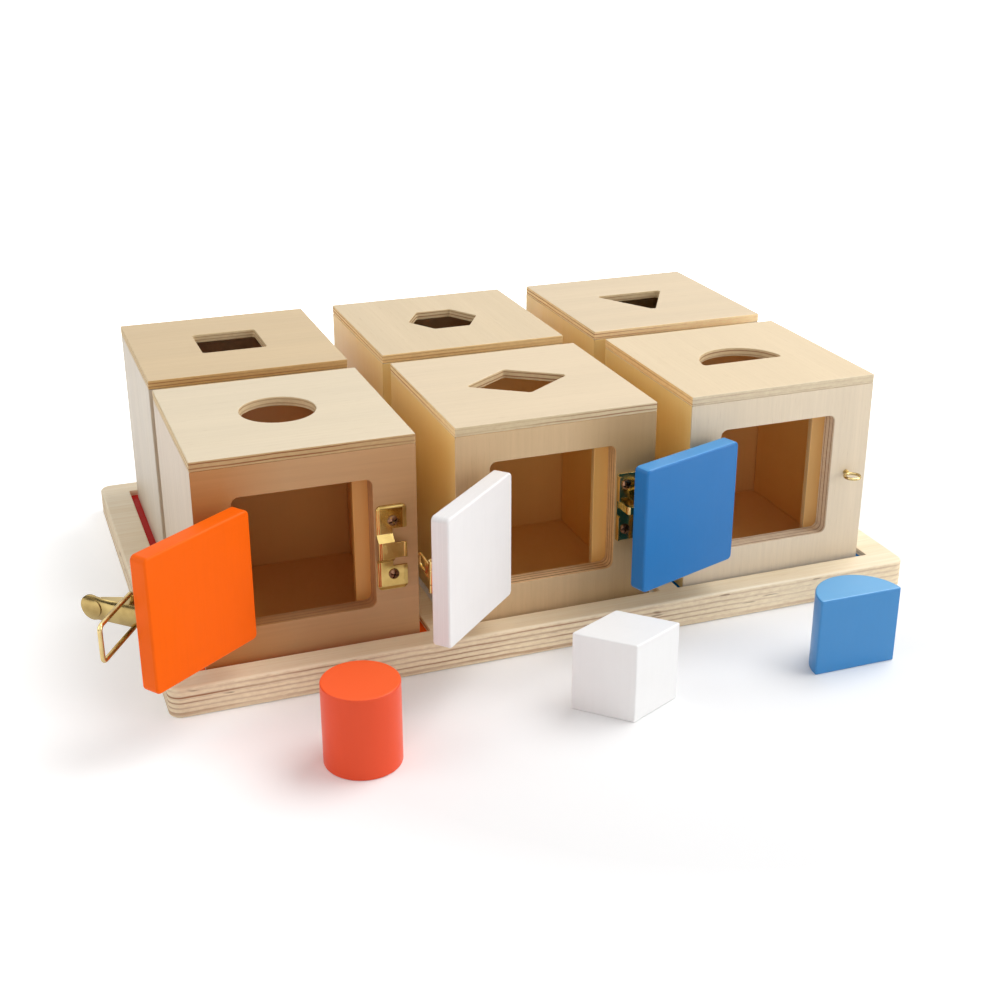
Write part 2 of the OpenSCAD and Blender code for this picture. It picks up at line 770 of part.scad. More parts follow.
// Pressed catch: a plate whose middle is raised to a bridge, with a tongue hooked away from the door
module toggle_catch() {
  foot = bridge_half + bridge_slope;
  shift = sheet_t * tan(atan(bridge_rise / bridge_slope) / 2);
  top = bridge_rise + sheet_t;
  tongue_half = bridge_half - tongue_inset;
  notch_half = bail_half + wire_r + 2 * end_play;
  lap = 2 * sheet_t;
  right_half = [
    [foot + lap, 0], [foot + lap, sheet_t], [foot + shift, sheet_t], [bridge_half + shift, top]
  ];
  under_half = [[-bridge_half, bridge_rise], [bridge_half, bridge_rise], [foot, 0]];
  color(brass) on_face(0) translate([keeper_x, -toggle_drop, 0]) {
    linear_extrude(sheet_t) difference() {
      end_plate(catch_w, catch_h, plate_r, plate_r);
      translate([-cut, -foot]) square([catch_w + 2 * cut, 2 * foot]);
      translate([bridge_len, -notch_half]) square([catch_w, 2 * notch_half]);
    }
    along(bridge_len) polygon(concat(
      right_half,
      [for (i = [3:-1:0]) [-right_half[i][0], right_half[i][1]]],
      [[-foot, 0]], under_half
    ));
    translate([bridge_len, -tongue_half, bridge_rise]) cube([tongue_len, 2 * tongue_half, sheet_t]);
    translate([bridge_len + tongue_len, 0, top + lip_r]) across(2 * tongue_half) intersection() {
      difference() {
        circle(lip_r + sheet_t);
        circle(lip_r);
      }
      translate([0, -lip_r - sheet_t]) square(lip_r + sheet_t);
    }
  }
}

// Leaf on the door with two knuckles and the pin that carries the strap
module hasp_leaf() {
  inner = strap_w / 2 + knuckle_gap;
  outer = inner + hasp_knuckle;
  color(brass) on_door(1) translate([hasp_x, 0, 0]) {
    mirror([1, 0, 0]) hinge_leaf(hasp_leaf_w, hasp_leaf_h, [[-outer, -inner], [inner, outer]]);
    translate([0, 0, pin_out]) rod_y(pin_r, -outer, outer);
  }
}

// Strap with its pin at the origin, closed, reaching over the staple
module closed_strap() {
  root = pin_r + fit + bore_wall;
  tip = slot_x + strap_end - strap_w / 2;
  difference() {
    union() {
      rod_y(barrel_r, -strap_w / 2, strap_w / 2);
      translate([0, 0, -strap_drop]) linear_extrude(strap_t) {
        translate([root, -strap_w / 2]) square([tip - root, strap_w]);
        translate([tip, 0]) circle(strap_w / 2);
      }
    }
    rod_y(pin_r + fit, -strap_w, strap_w);
    translate([slot_x, 0, -strap_drop - cut]) linear_extrude(strap_t + 2 * cut)
      round_rect(staple_l + 3 * slot_room, staple_w + 2 * slot_room, slot_r);
  }
}

module hasp_strap() {
  color(brass) on_door(1) translate([hasp_x, 0, pin_out]) rotate([0, -strap_open, 0]) closed_strap();
}

// Arch standing on y = 0 with rounded shoulders
module arch(w, h, r) {
  translate([-w / 2, 0]) square([w, h - r]);
  translate([r - w / 2, 0]) square([w - 2 * r, h]);
  for (side = [-1, 1]) translate([side * (w / 2 - r), h - r]) circle(r);
}

// Plate with a folded edge towards the door, parted where the strap lies, and the staple
module hasp_staple() {
  strap_gap = strap_w / 2 + slot_room;
  color(brass) on_face(1) translate([keeper_x, 0, 0]) {
    linear_extrude(sheet_t) end_plate(catch_w, staple_plate_h, plate_r / 3, staple_corner_r);
    for (side = [0, 1]) mirror([0, side, 0])
      translate([0, strap_gap, 0]) cube([sheet_t, staple_plate_h / 2 - strap_gap - plate_r / 3, fold_h]);
    translate([staple_in, 0, 0]) across(staple_w) difference() {
      arch(staple_l, staple_h, staple_shoulder_r);
      arch(staple_l - 2 * staple_t, staple_h - staple_t, staple_shoulder_r - staple_t);
    }
  }
}

// Turned stud with a rosette, a shoulder up to z = low, a neck up to z = high and a head
module stud(neck_r, plate_r, low, high) {
  shoulder_r = neck_r + stud_shoulder;
  top = high + stud_head;
  rotate_extrude() polygon([
    [0, 0], [plate_r, 0], [plate_r, rosette_t - stud_ease], [plate_r - stud_ease, rosette_t],
    [shoulder_r, rosette_t], [shoulder_r, low], [neck_r, low], [neck_r, high], [shoulder_r, high],
    [shoulder_r, top - stud_ease], [shoulder_r - stud_ease, top], [0, top]
  ]);
}

module hook_pivot() {
  low = hook_out - hook_ring_t / 2 - end_play;
  color(brass) on_door(2) translate([hook_x, hook_rise, 0])
    stud(stud_r, rosette_r, low, low + hook_ring_t + 2 * end_play);
}

// Hook with its pivot at the origin, latched: the rod along x and the tip turned down
module latched_hook() {
  root = stud_r + fit + bore_wall;
  difference() {
    union() {
      translate([0, 0, -hook_ring_t / 2]) cylinder(r = hook_ring_r, h = hook_ring_t);
      translate([root, 0, 0]) rotate([0, 90, 0])
        cylinder(r = hook_r, h = hook_l - hook_bend - root);
      translate([hook_l - hook_bend, -hook_bend, 0]) wire_bend(hook_r, hook_bend);
      translate([hook_l, 0, 0]) rod_y(hook_r, -hook_tip, -hook_bend);
    }
    translate([0, 0, -hook_out]) cylinder(r = stud_r + fit, h = 2 * hook_out);
  }
}

module hook() {
  color(brass) on_door(2) translate([hook_x, hook_rise, hook_out]) rotate(-hook_hang) latched_hook();
}

// Ring that the hook drops into, on a shank screwed into the stile
module screw_eye() {
  eye_y = hook_rise - hook_r - eye_wire_r - end_play;
  color(brass) on_face(2) translate([opening_right + eye_set, eye_y, 0]) {
    translate([0, 0, hook_out]) rotate([90, 0, 0]) rotate_extrude() translate([eye_r, 0]) circle(eye_wire_r);
    cylinder(r = eye_wire_r, h = hook_out - eye_r);
    cylinder(r = 2 * eye_wire_r, h = sheet_t);
  }
}

// Loop round the bolt, seen along it
module guide_outline(bore) {
  outer = bore + guide_t;
  difference() {
    union() {
      translate([0, bolt_out]) circle(outer);
      translate([-outer, 0]) square([2 * outer, bolt_out]);
    }
    translate([0, bolt_out]) circle(bore);
  }
}

module bolt_body() {
  color(brass) on_door(3) translate([bolt_end_x - bolt_plate_l, 0, 0]) {
    linear_extrude(sheet_t) end_plate(bolt_plate_l, bolt_plate_w, plate_r, plate_r);
    for (x = [bolt_tail, bolt_plate_l - guide_l])
      translate([x, 0, 0]) along(guide_l) guide_outline(bolt_r + fit);
  }
}

// Bolt drawn back, with its knob between the guides
module bolt_rod() {
  l = bolt_tip_x - bolt_end_x + bolt_plate_l - bolt_tail / 2;
  color(brass) on_door(3) translate([0, 0, bolt_out]) {
    translate([bolt_tip_x - l, 0, 0]) rotate([90, 0, 90]) rotate_extrude()
      polygon([[0, 0], [bolt_r, 0], [bolt_r, l - bolt_chamfer], [bolt_r - bolt_chamfer, l], [0, l]]);
    translate([knob_x, 0, 0]) rotate_extrude() {
      square([knob_stem_r, knob_out]);
      translate([0, knob_out]) intersection() {
        circle(knob_r);
        translate([0, -knob_r]) square(2 * knob_r);
      }
    }
  }
}

module bolt_keeper() {
  color(brass) on_face(3) translate([keeper_x, 0, 0]) {
    linear_extrude(sheet_t) end_plate(keeper_l + 2 * keeper_lap, keeper_plate_h, plate_r, plate_r);
    translate([keeper_lap, 0, 0]) along(keeper_l) guide_outline(bolt_r + keeper_room);
  }
}

// Button that turns on its screw, upright as it rests
module turn_button() {
  color(brass) on_face(4) translate([opening_right + button_set, 0, 2 * end_play])
    linear_extrude(button_t) difference() {
      round_rect(button_w, button_l, button_r);
      circle(stud_r + fit);
    }
}

module swing_pivot() {
  color(brass) on_door(5) translate([swing_x, swing_rise, 0])
    stud(stud_r, rosette_r, swing_lift - end_play, swing_lift + swing_t + end_play);
}

// Flat arm with its pivot at the origin, latched: its notch drops over the stud from above
module latched_arm() {
  notch_r = swing_stud_r + 2 * end_play;
  linear_extrude(swing_t) difference() {
    union() {
      circle(swing_w / 2 + swing_boss);
      translate([0, -swing_w / 2]) square([swing_l + swing_w / 2, swing_w]);
      translate([swing_l + swing_w / 2, 0]) circle(swing_w / 2);
    }
    circle(stud_r + fit);
    translate([swing_l, 0]) circle(notch_r);
    translate([swing_l - notch_r, -swing_w]) square([2 * notch_r, swing_w]);
  }
}

module swing_arm() {
  color(brass) on_door(5) translate([swing_x, swing_rise, swing_lift]) rotate(-swing_hang) latched_arm();
}

module swing_stud() {
  color(brass) on_face(5) translate([opening_right + stud_set, swing_rise, 0])
    stud(swing_stud_r, rosette_r, swing_lift - end_play, swing_lift + swing_t + end_play);
}

base_board();
for (i = [0:5]) {
  lid(i);
  front(i);
  walls(i);
  door(i);
  hinge(i);
  door_leaf(i);
  block(i);
}
toggle_base();
toggle_lever();
toggle_bail();
toggle_catch();
hasp_leaf();
hasp_strap();
hasp_staple();
hook_pivot();
hook();
screw_eye();
bolt_body();
bolt_rod();
bolt_keeper();
turn_button();
swing_pivot();
swing_arm();
swing_stud();
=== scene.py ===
import json
import math

import bmesh
import bpy
from mathutils import Matrix, Vector


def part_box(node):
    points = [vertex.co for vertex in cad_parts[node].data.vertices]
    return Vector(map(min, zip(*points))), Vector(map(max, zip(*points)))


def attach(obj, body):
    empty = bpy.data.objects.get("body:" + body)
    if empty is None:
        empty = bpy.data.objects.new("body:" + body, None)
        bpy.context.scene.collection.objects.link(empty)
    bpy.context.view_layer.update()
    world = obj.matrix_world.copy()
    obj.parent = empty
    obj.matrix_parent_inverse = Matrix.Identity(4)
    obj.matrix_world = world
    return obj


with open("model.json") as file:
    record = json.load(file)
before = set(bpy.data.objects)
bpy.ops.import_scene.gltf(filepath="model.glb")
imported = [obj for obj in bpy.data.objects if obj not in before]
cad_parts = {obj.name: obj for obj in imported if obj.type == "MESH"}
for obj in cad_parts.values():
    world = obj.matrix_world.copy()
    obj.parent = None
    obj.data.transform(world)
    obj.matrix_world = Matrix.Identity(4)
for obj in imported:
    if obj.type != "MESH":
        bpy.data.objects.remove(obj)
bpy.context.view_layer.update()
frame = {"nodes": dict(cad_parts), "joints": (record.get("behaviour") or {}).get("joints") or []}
nodes = frame["nodes"]
joints = {j["name"]: j for j in frame["joints"]}
shapes = ["round", "rhombus", "half_round", "square", "hexagon", "triangle"]
frontRow = shapes[:3]
mm = 0.001
xAxis, yAxis, zAxis = (1, 0, 0), (0, 1, 0), (0, 0, 1)
print("frame loaded:", len(nodes), "nodes")


# colours and node trees

def tone(r, g, b):
    # screen colour 0-255 to the linear colour that a socket takes
    lin = [c / 255 for c in (r, g, b)]
    lin = [c / 12.92 if c <= 0.04045 else ((c + 0.055) / 1.055) ** 2.4 for c in lin]
    return (*lin, 1.0)


def scaleTone(colour, share):
    return (*[c * share for c in colour[:3]], 1.0)


def newMaterial(name):
    mat = bpy.data.materials.new(name)
    mat.use_nodes = True
    return mat, mat.node_tree, mat.node_tree.nodes["Principled BSDF"]


def addNode(tree, kind, feeds=None, **settings):
    node = tree.nodes.new(kind)
    for key, value in settings.items():
        setattr(node, key, value)
    for key, value in (feeds or {}).items():
        if isinstance(value, bpy.types.NodeSocket):
            tree.links.new(value, node.inputs[key])
        else:
            node.inputs[key].default_value = value
    return node


def place(tree):
    # where a point is and which way it faces, in the object's own axes
    coord = addNode(tree, "ShaderNodeTexCoord")
    return coord.outputs["Object"], coord.outputs["Normal"]


def calc(tree, operation, a, b=0.0):
    return addNode(tree, "ShaderNodeMath", {0: a, 1: b}, operation=operation).outputs[0]


def times(tree, a, b):
    return calc(tree, "MULTIPLY", a, b)


def measure(tree, vector, direction):
    feeds = {0: vector, 1: direction}
    return addNode(tree, "ShaderNodeVectorMath", feeds, operation="DOT_PRODUCT").outputs["Value"]


def turnedTo(tree, normal, side, least):
    return calc(tree, "GREATER_THAN", measure(tree, normal, side), least)


def offset(tree, spot, axis, middle):
    return calc(tree, "SUBTRACT", measure(tree, spot, axis), middle)


def remap(tree, value, low, high, toLow=0.0, toHigh=1.0):
    feeds = {"Value": value, "From Min": low, "From Max": high, "To Min": toLow, "To Max": toHigh}
    return addNode(tree, "ShaderNodeMapRange", feeds).outputs["Result"]


def mixTone(tree, share, a, b, blend="MIX"):
    feeds = {0: share, 6: a, 7: b}
    return addNode(tree, "ShaderNodeMix", feeds, data_type="RGBA", blend_type=blend).outputs[2]


def grainNoise(tree, spot, stretch, detail=3.0, rough=0.55, shift=(0.0, 0.0, 0.0)):
    feeds = {"Vector": spot, "Scale": stretch, "Location": shift}
    stretched = addNode(tree, "ShaderNodeMapping", feeds).outputs["Vector"]
    feeds = {"Vector": stretched, "Scale": 1.0, "Detail": detail, "Roughness": rough}
    return addNode(tree, "ShaderNodeTexNoise", feeds).outputs["Fac"]


def setBump(tree, shader, height, strength, distance):
    feeds = {"Height": height, "Strength": strength, "Distance": distance}
    bump = addNode(tree, "ShaderNodeBump", feeds)
    tree.links.new(bump.outputs["Normal"], shader.inputs["Normal"])


# objects, their surfaces and their edges

scene = bpy.context.scene
# angles in degrees
easing = {"weld": 0.002 * mm, "flatAngle": 0.5, "sharpAngle": 30, "weight": 50}


def addToScene(name, data):
    obj = bpy.data.objects.new(name, data)
    scene.collection.objects.link(obj)
    return obj


def dress(obj, mat):
    obj.data.materials.clear()
    obj.data.materials.append(mat)


def easeEdges(obj, width, segments=2, flatten=True):
    mesh = obj.data
    mesh.polygons.foreach_set("use_smooth", [True] * len(mesh.polygons))
    weld = obj.modifiers.new("weld", "WELD")
    weld.merge_threshold = easing["weld"]
    if flatten:  # thin triangles in a flat face would choke the bevel
        flat = obj.modifiers.new("flat", "DECIMATE")
        flat.decimate_type = "DISSOLVE"
        flat.angle_limit = math.radians(easing["flatAngle"])
    ease = obj.modifiers.new("ease", "BEVEL")
    ease.width = width * mm
    ease.segments = segments
    ease.limit_method = "ANGLE"
    ease.angle_limit = math.radians(easing["sharpAngle"])
    even = obj.modifiers.new("even", "WEIGHTED_NORMAL")
    even.weight = easing["weight"]


# birch plywood: veneer on the faces, stripes of ply on the edges

plywood = {
    "edgeLight": tone(230, 206, 162), "edgeDark": tone(164, 114, 80),
    "glueLine": tone(122, 84, 56), "pore": tone(172, 136, 96),
    "faceRough": 0.46, "edgeRough": 0.66, "roughBy": 0.05,
    "faceGloss": 0.50, "edgeGloss": 0.10,
    "edgeTurn": 0.6, "sideTurn": 0.7,  # share of the normal along an axis
    # noise: scale along the grain, extra scale across it, detail, roughness
    "fibre": (14, 480, 5.0, 0.6), "figure": (2.5, 42, 2.0, 0.5), "pores": (90, 1500, 2.0, 0.5),
    "fibreRange": (0.32, 0.70), "figureRange": (0.38, 0.68), "poreRange": (0.62, 0.76),
    "poreShare": 0.22,
    # stripes: noise scale and detail, and how it lets them wander, widen and fade
    "driftNoise": (34, 2.0), "drift": (0.2, 0.8, -0.22, 0.22),
    "widthNoise": (0, 1.0), "width": (0.2, 0.8, -0.7, 0.7),
    "fadeNoise": (8, 2.0), "fade": (0.34, 0.64, 0.12, 1.0), "stripeRough": 0.5, "seamWide": 0.20,
    "endGrain": ((260, 260, 620), 3.0, 0.6), "endGrainRange": (0.35, 0.75, 0.0, 0.22),
    "voids": ((60, 60, 380), 1.0, 0.4, (3.1, 1.7, 0.4)), "voidRange": (0.70, 0.76),
    "fibreSpread": (0.3, 0.7), "fibreRelief": 0.5,
    "boardBump": (0.22, 0.15 * mm), "veneerBump": (0.15, 0.08 * mm),
}


def veneerTone(tree, spot, look):
    noise = {}
    for kind in ("fibre", "figure", "pores"):
        along, across, detail, rough = plywood[kind]
        stretch = [along + across * (1 - abs(c)) for c in look["grain"]]
        noise[kind] = grainNoise(tree, spot, stretch, detail, rough, look["shift"])
    share = remap(tree, noise["fibre"], *plywood["fibreRange"])
    colour = mixTone(tree, share, look["light"], look["dark"])
    share = remap(tree, noise["figure"], *plywood["figureRange"], 0.0, look["figure"])
    colour = mixTone(tree, share, colour, look["tint"])
    share = remap(tree, noise["pores"], *plywood["poreRange"], 0.0, plywood["poreShare"])
    return mixTone(tree, share, colour, plywood["pore"]), noise["fibre"]


def plyBands(tree, spot, look):
    def stripeNoise(kind, uneven):
        scale, detail = plywood[kind + "Noise"]
        stretch = [scale + uneven * abs(c) for c in look["axis"]]
        noise = grainNoise(tree, spot, stretch, detail, plywood["stripeRough"], look["shift"])
        return remap(tree, noise, *plywood[kind])

    drift = stripeNoise("drift", 0)
    width = stripeNoise("width", look["uneven"])
    fade = stripeNoise("fade", look["uneven"])
    depth = offset(tree, spot, look["axis"], look["low"])
    count = calc(tree, "DIVIDE", depth, look["thick"] / look["plies"])
    count = calc(tree, "ADD", calc(tree, "ADD", count, drift), width)
    wave = calc(tree, "SINE", times(tree, count, math.pi))
    dark = remap(tree, wave, *look["band"], look.get("bandShare", 1.0), 0.0)
    seamWide = look.get("seamWide", plywood["seamWide"])
    seam = remap(tree, calc(tree, "ABSOLUTE", wave), 0.0, seamWide, look["seam"], 0.0)
    return times(tree, dark, fade), times(tree, seam, fade)


def boardMaterial(look):
    mat, tree, shader = newMaterial(look["name"])
    spot, normal = place(tree)
    face, fibre = veneerTone(tree, spot, look)
    flatness = calc(tree, "ABSOLUTE", measure(tree, normal, look["axis"]))
    onEdge = calc(tree, "LESS_THAN", flatness, plywood["edgeTurn"])
    dark, seam = plyBands(tree, spot, look)
    if "paleEnd" in look:  # the stripes are fainter towards the right end
        start, end, least = look["paleEnd"]
        pale = remap(tree, measure(tree, spot, xAxis), start, end, 1.0, least)
        dark, seam = times(tree, dark, pale), times(tree, seam, pale)
    endGrain = grainNoise(tree, spot, *plywood["endGrain"])
    edge = mixTone(tree, dark, look.get("edgeLight", plywood["edgeLight"]), plywood["edgeDark"])
    share = remap(tree, endGrain, *plywood["endGrainRange"])
    edge = mixTone(tree, share, edge, plywood["edgeDark"])
    edge = mixTone(tree, seam, edge, plywood["glueLine"])
    if "voids" in look:  # short dark slots where an inner ply has a hole
        gap = grainNoise(tree, spot, *plywood["voids"])
        share = remap(tree, gap, *plywood["voidRange"], 0.0, look["voids"])
        edge = mixTone(tree, share, edge, plywood["glueLine"])
    colour = mixTone(tree, onEdge, face, edge)
    for side, tint in look.get("rimLightShade", []):  # painted light and shade on the outer edge on one side
        outer = calc(tree, "GREATER_THAN", measure(tree, spot, side), look["rimFrom"][side])
        share = times(tree, turnedTo(tree, normal, side, plywood["sideTurn"]), outer)
        colour = mixTone(tree, share, colour, (*tint, 1.0), "MULTIPLY")
    if "shade" in look:  # painted shadow and painted reflected glow of an open door, growing towards one side
        share = remap(tree, measure(tree, spot, xAxis), *look["shadeReach"])
        colour = mixTone(tree, share, colour, look["shade"], "MULTIPLY")
    tree.links.new(colour, shader.inputs["Base Color"])
    rough = remap(tree, onEdge, 0.0, 1.0, plywood["faceRough"], plywood["edgeRough"])
    by = plywood["roughBy"]
    rough = calc(tree, "ADD", rough, remap(tree, fibre, *plywood["fibreSpread"], -by, by))
    tree.links.new(rough, shader.inputs["Roughness"])
    gloss = remap(tree, onEdge, 0.0, 1.0, plywood["faceGloss"], plywood["edgeGloss"])
    tree.links.new(gloss, shader.inputs["Specular IOR Level"])
    relief = times(tree, calc(tree, "ADD", dark, endGrain), onEdge)
    relief = calc(tree, "ADD", relief, times(tree, fibre, plywood["fibreRelief"]))
    setBump(tree, shader, relief, *plywood["boardBump"])
    return mat


# base board, with the floors of its recesses painted in the colours of the doors

doorPaint = {
    "round": tone(255, 104, 4), "rhombus": tone(240, 237, 236), "half_round": tone(14, 111, 179),
    "square": tone(208, 34, 28), "hexagon": tone(240, 190, 40), "triangle": tone(74, 150, 66),
}
baseBoard = {
    "name": "basePly", "axis": zAxis, "low": 0.0, "thick": 18 * mm, "plies": 11, "uneven": 260,
    "band": (-0.92, -0.36), "bandShare": 0.95, "paleEnd": (-0.04, 0.18, 0.45),
    "seam": 0.30, "seamWide": 0.30, "voids": 0.6, "edgeLight": tone(246, 228, 196),
    "grain": xAxis, "shift": (0.3, 0.1, 0.7),
    "light": tone(250, 237, 210), "dark": tone(240, 221, 188), "tint": tone(226, 200, 160),
    "figure": 0.4, "ease": 0.5,
    "recessTop": 14.6 * mm, "recessReach": 66 * mm, "recessTurn": 0.5, "recessDull": 0.4,
}


def paintRecesses(mat):
    tree = mat.node_tree
    shader = tree.nodes["Principled BSDF"]
    spot, normal = place(tree)
    colour = shader.inputs["Base Color"].links[0].from_socket
    gloss = shader.inputs["Specular IOR Level"].links[0].from_socket
    up = turnedTo(tree, normal, zAxis, baseBoard["recessTurn"])
    low = calc(tree, "LESS_THAN", measure(tree, spot, zAxis), baseBoard["recessTop"])
    sunk = times(tree, up, low)
    for shape in shapes:
        corner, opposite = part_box(shape + "_walls")
        middle = (corner + opposite) / 2
        x = calc(tree, "ABSOLUTE", offset(tree, spot, xAxis, middle.x))
        y = calc(tree, "ABSOLUTE", offset(tree, spot, yAxis, middle.y))
        inside = calc(tree, "LESS_THAN", calc(tree, "MAXIMUM", x, y), baseBoard["recessReach"])
        painted = times(tree, inside, sunk)
        colour = mixTone(tree, painted, colour, doorPaint[shape])
        gloss = calc(tree, "SUBTRACT", gloss, times(tree, painted, baseBoard["recessDull"]))
    tree.links.new(colour, shader.inputs["Base Color"])
    tree.links.new(gloss, shader.inputs["Specular IOR Level"])


baseMat = boardMaterial(baseBoard)
paintRecesses(baseMat)
dress(nodes["base_board"], baseMat)
easeEdges(nodes["base_board"], baseBoard["ease"])
print("base board done")


# boxes: lid, front and walls

boxLook = {
    "lidLight": {
        "round": tone(229, 212, 182), "rhombus": tone(228, 207, 174),
        "half_round": tone(228, 206, 170), "square": tone(216, 190, 149),
        "hexagon": tone(222, 200, 164), "triangle": tone(222, 201, 168),
    },
    "lidGrain": {
        "round": xAxis, "rhombus": xAxis, "half_round": yAxis,
        "square": xAxis, "hexagon": yAxis, "triangle": xAxis,
    },
    "lidRimLightShade": {  # painted light and shade on the lid's outer edges, by the side they face: below 1 painted shade, above 1 painted highlight
        "round": {(0, -1, 0): (0.74, 0.64, 0.54)},
        "rhombus": {(0, -1, 0): (0.88, 0.92, 1.0), (-1, 0, 0): (1.25, 1.28, 1.26)},
        "half_round": {(0, -1, 0): (0.96, 1.04, 1.25), (-1, 0, 0): (1.25, 1.14, 0.96)},
        "square": {(0, -1, 0): (0.89, 0.73, 0.52)},
        "hexagon": {(0, -1, 0): (1.18, 1.09, 0.90), (-1, 0, 0): (1.25, 1.25, 1.22)},
        "triangle": {(0, -1, 0): (1.35, 1.36, 1.38), (-1, 0, 0): (1.25, 1.25, 1.22)},
    },
    "rimDeep": 6 * mm, "lidThick": 5.5 * mm,
    # the round front's tone is partly its browner veneer and partly painted shade of the open
    # white door
    "frontLight": {
        "round": tone(192, 147, 100), "rhombus": tone(212, 180, 137),
        "half_round": tone(231, 213, 186), "square": tone(230, 206, 168),
        "hexagon": tone(234, 212, 176), "triangle": tone(232, 206, 166),
    },
    "frontGrain": {
        "round": xAxis, "rhombus": zAxis, "half_round": zAxis,
        "square": zAxis, "hexagon": xAxis, "triangle": zAxis,
    },
    # painted light and shade across the front: from and to in mm right of the middle, and the
    # tone there; painted shadow of the open blue door on the rhombus front, painted orange
    # reflection of the open orange door on the round front
    "frontPaintedLight": {
        "round": (-10, -45, tone(247, 226, 188)), "rhombus": (5, 42, tone(217, 209, 192)),
    },
    "frontEdge": dict(dict.fromkeys(shapes, 1.06), rhombus=1.45), "frontThick": 11 * mm,
    "wallLight": dict(
        dict.fromkeys(shapes, tone(222, 204, 178)),
        round=tone(213, 192, 166), square=tone(211, 196, 174)),
    # bare wood inside the box is warmer than the varnished outside; its deep orange here, also on
    # the sideways faces of the doorway, is partly painted warm shade
    "inside": dict(
        dict.fromkeys(shapes, tone(228, 168, 86)),
        round=tone(222, 154, 60), rhombus=tone(236, 175, 78), half_round=tone(234, 174, 88)),
    "insideReach": 49.6 * mm, "insideShare": 0.85,
    "doorway": dict(
        dict.fromkeys(shapes, tone(220, 176, 104)),
        round=tone(194, 136, 66), rhombus=tone(214, 175, 114), half_round=tone(216, 184, 134)),
    "doorwayReach": 41 * mm,
    # painted warm bounce light on walls that face another box, stopping short of the outer corner
    "paintedGapGlow": tone(250, 212, 126), "paintedGapGlowShare": 0.75, "paintedGapGlowFade": (50 * mm, 57 * mm, 1.0, 0.0),
    "ease": 0.5,
}


def veneerMaterial(look):
    mat, tree, shader = newMaterial(look["name"])
    spot, normal = place(tree)
    colour, fibre = veneerTone(tree, spot, look)
    across = offset(tree, spot, xAxis, look["middle"].x)
    x = calc(tree, "ABSOLUTE", across)
    y = calc(tree, "ABSOLUTE", offset(tree, spot, yAxis, look["middle"].y))
    outward = times(tree, across, look["outer"])
    # painted warm bounce light on the walls that face a neighbouring box
    for side in look["paintedGapGlowSides"]:
        share = turnedTo(tree, normal, side, plywood["sideTurn"])
        share = times(tree, share, boxLook["paintedGapGlowShare"])
        if side[1]:
            share = times(tree, share, remap(tree, outward, *boxLook["paintedGapGlowFade"]))
        colour = mixTone(tree, share, colour, boxLook["paintedGapGlow"])
    # painted warm shade inside the box and in its doorway, over the bare wood's tone
    inside = calc(tree, "LESS_THAN", calc(tree, "MAXIMUM", x, y), boxLook["insideReach"])
    share = times(tree, inside, boxLook["insideShare"])
    colour = mixTone(tree, share, colour, look["inside"])
    sideways = calc(tree, "ABSOLUTE", measure(tree, normal, xAxis))
    sideways = calc(tree, "GREATER_THAN", sideways, plywood["sideTurn"])
    share = times(tree, sideways, calc(tree, "LESS_THAN", x, boxLook["doorwayReach"]))
    share = times(tree, share, boxLook["insideShare"])
    colour = mixTone(tree, share, colour, look["doorway"])
    tree.links.new(colour, shader.inputs["Base Color"])
    least, most = [plywood["faceRough"] + k * plywood["roughBy"] for k in (-1, 1)]
    rough = remap(tree, fibre, *plywood["fibreSpread"], least, most)
    tree.links.new(rough, shader.inputs["Roughness"])
    setBump(tree, shader, fibre, *plywood["veneerBump"])
    return mat


